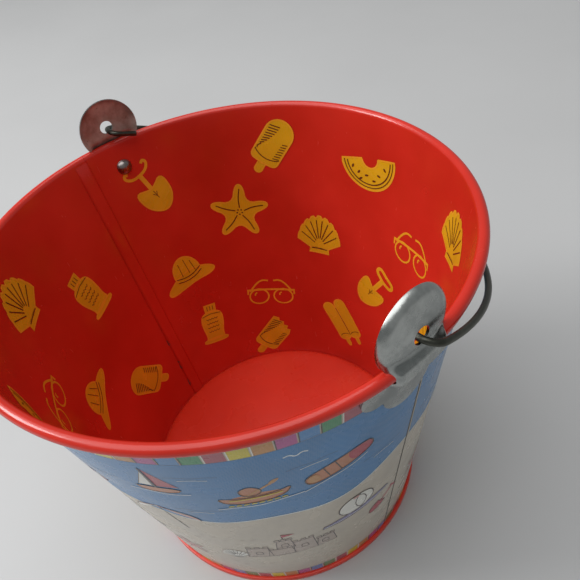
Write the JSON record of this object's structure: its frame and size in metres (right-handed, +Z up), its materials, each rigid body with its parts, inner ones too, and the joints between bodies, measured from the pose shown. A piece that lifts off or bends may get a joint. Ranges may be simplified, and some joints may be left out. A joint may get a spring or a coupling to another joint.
{
  "type": "sand pail",
  "caption": "Tapered tinplate sand pail, red inside and printed with beach scenes outside, with a rolled rim, riveted steel ears and a swinging wire bail.",
  "frame": {"origin": "centre of the foot ring's underside, on the surface the pail stands on", "axes": "+Z up along the pail's axis; X runs from ear to ear, beside the line about which the bail turns, 3.3 mm towards +Y; the bail hangs down on the +Y side"},
  "size_m": [0.212, 0.203, 0.1866],
  "materials": {
    "lithographed_tin": "gloss lithographed enamel",
    "red_enamelled_tin": "gloss enamel",
    "plain_steel_wire": "drawn",
    "zinc_plated_steel": "dull zinc plate",
    "rivet_steel": "plain, slightly tarnished",
    "dark_bail_steel": "oxidised drawn wire"
  },
  "bodies": {
    "pail": {"body_panel_front": "lithographed_tin", "body_panel_back": "lithographed_tin", "base_pan": "red_enamelled_tin", "rim_wire": "plain_steel_wire", "bail_ear_right": "zinc_plated_steel", "bail_ear_left": "zinc_plated_steel", "ear_rivet_right": "rivet_steel", "ear_rivet_left": "rivet_steel"},
    "bail": {"bail_wire": "dark_bail_steel"}
  },
  "joints": [
    {"name": "bail_swing", "type": "hinge", "parent": "pail", "child": "bail", "pos_m": [0, 0.00332, 0.1705], "axis": [1, 0, 0], "range_deg": [0, 205]}
  ]
}
